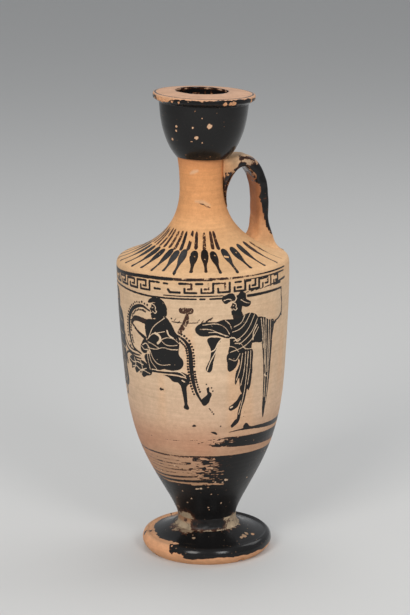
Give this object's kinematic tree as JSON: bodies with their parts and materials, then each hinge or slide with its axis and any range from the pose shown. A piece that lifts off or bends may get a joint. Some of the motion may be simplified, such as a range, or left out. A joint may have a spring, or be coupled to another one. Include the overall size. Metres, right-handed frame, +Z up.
{
  "type": "lekythos",
  "caption": "Tall narrow-necked oil flask of fired clay with a disc foot, tapering body, sloping shoulder, calyx mouth with a flat rim, and a strap handle from neck to shoulder.",
  "frame": {"origin": "centre of the ring that the foot stands on", "axes": "+Z up along the flask, +X towards the handle"},
  "size_m": [0.0811, 0.081, 0.22],
  "materials": {
    "reserved_clay": "unpainted orange-beige fired clay, burnished, matt",
    "black_gloss": "satin black slip gloss, chipped and worn to the clay at edges",
    "luting_clay": "pale smeared clay, matt"
  },
  "bodies": {
    "root": {"foot": "black_gloss", "foot_luting": "luting_clay", "body": "reserved_clay", "neck_luting": "luting_clay", "neck": "reserved_clay", "mouth_luting": "luting_clay", "mouth": "black_gloss", "handle": "black_gloss", "handle_upper_luting": "luting_clay", "handle_lower_luting": "luting_clay"}
  },
  "joints": []
}
